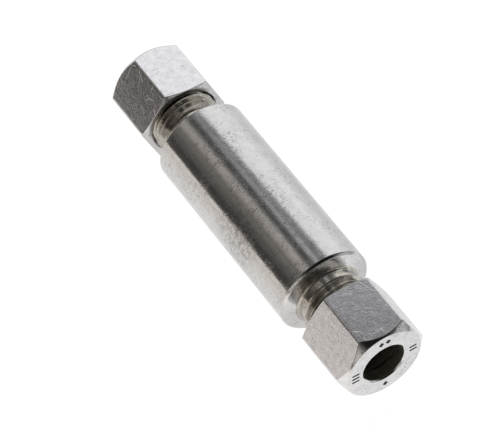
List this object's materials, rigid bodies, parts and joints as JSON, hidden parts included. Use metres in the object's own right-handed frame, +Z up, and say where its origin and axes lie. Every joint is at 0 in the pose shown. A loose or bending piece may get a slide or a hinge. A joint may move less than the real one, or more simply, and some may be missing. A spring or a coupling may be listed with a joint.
{
  "type": "weld bulkhead tube union",
  "caption": "Round stainless weld-in bulkhead union for metal tube, with a threaded neck, cutting ring and hexagon union nut at each end.",
  "frame": {"origin": "centre of the weld cylinder, on the bore axis, midway between the two ends", "axes": "+X along the bore towards end a, +Z up, so the body lies on its side as on a bench"},
  "size_m": [0.0962, 0.022, 0.022],
  "materials": {
    "turned_body": "fine turned stainless steel bar",
    "nut_steel": "drawn and tumbled stainless hexagon, turned end faces",
    "ring_steel": "turned stainless steel"
  },
  "bodies": {
    "body": {"weld_body": "turned_body"},
    "ring_a": {"cutting_ring_a": "ring_steel"},
    "nut_a": {"union_nut_a": "nut_steel"},
    "ring_b": {"cutting_ring_b": "ring_steel"},
    "nut_b": {"union_nut_b": "nut_steel"}
  },
  "joints": [
    {"name": "ring_a_slide", "type": "slide", "parent": "body", "child": "ring_a", "axis": [1, 0, 0], "range_m": [-0.0024, 0.003]},
    {"name": "nut_a_turn", "type": "hinge", "parent": "ring_a", "child": "nut_a", "pos_m": [0.0404, 0, 0], "axis": [1, 0, 0], "range_deg": [-576.5, 720.5]},
    {"name": "ring_b_slide", "type": "slide", "parent": "body", "child": "ring_b", "axis": [-1, 0, 0], "range_m": [-0.0024, 0.003]},
    {"name": "nut_b_turn", "type": "hinge", "parent": "ring_b", "child": "nut_b", "pos_m": [-0.0404, 0, 0], "axis": [-1, 0, 0], "range_deg": [-576.5, 720.5]}
  ],
  "couplings": [
    {"joint": "nut_a_turn", "follows": "ring_a_slide", "rad_per_m": 4188.8},
    {"joint": "nut_b_turn", "follows": "ring_b_slide", "rad_per_m": 4188.8}
  ]
}
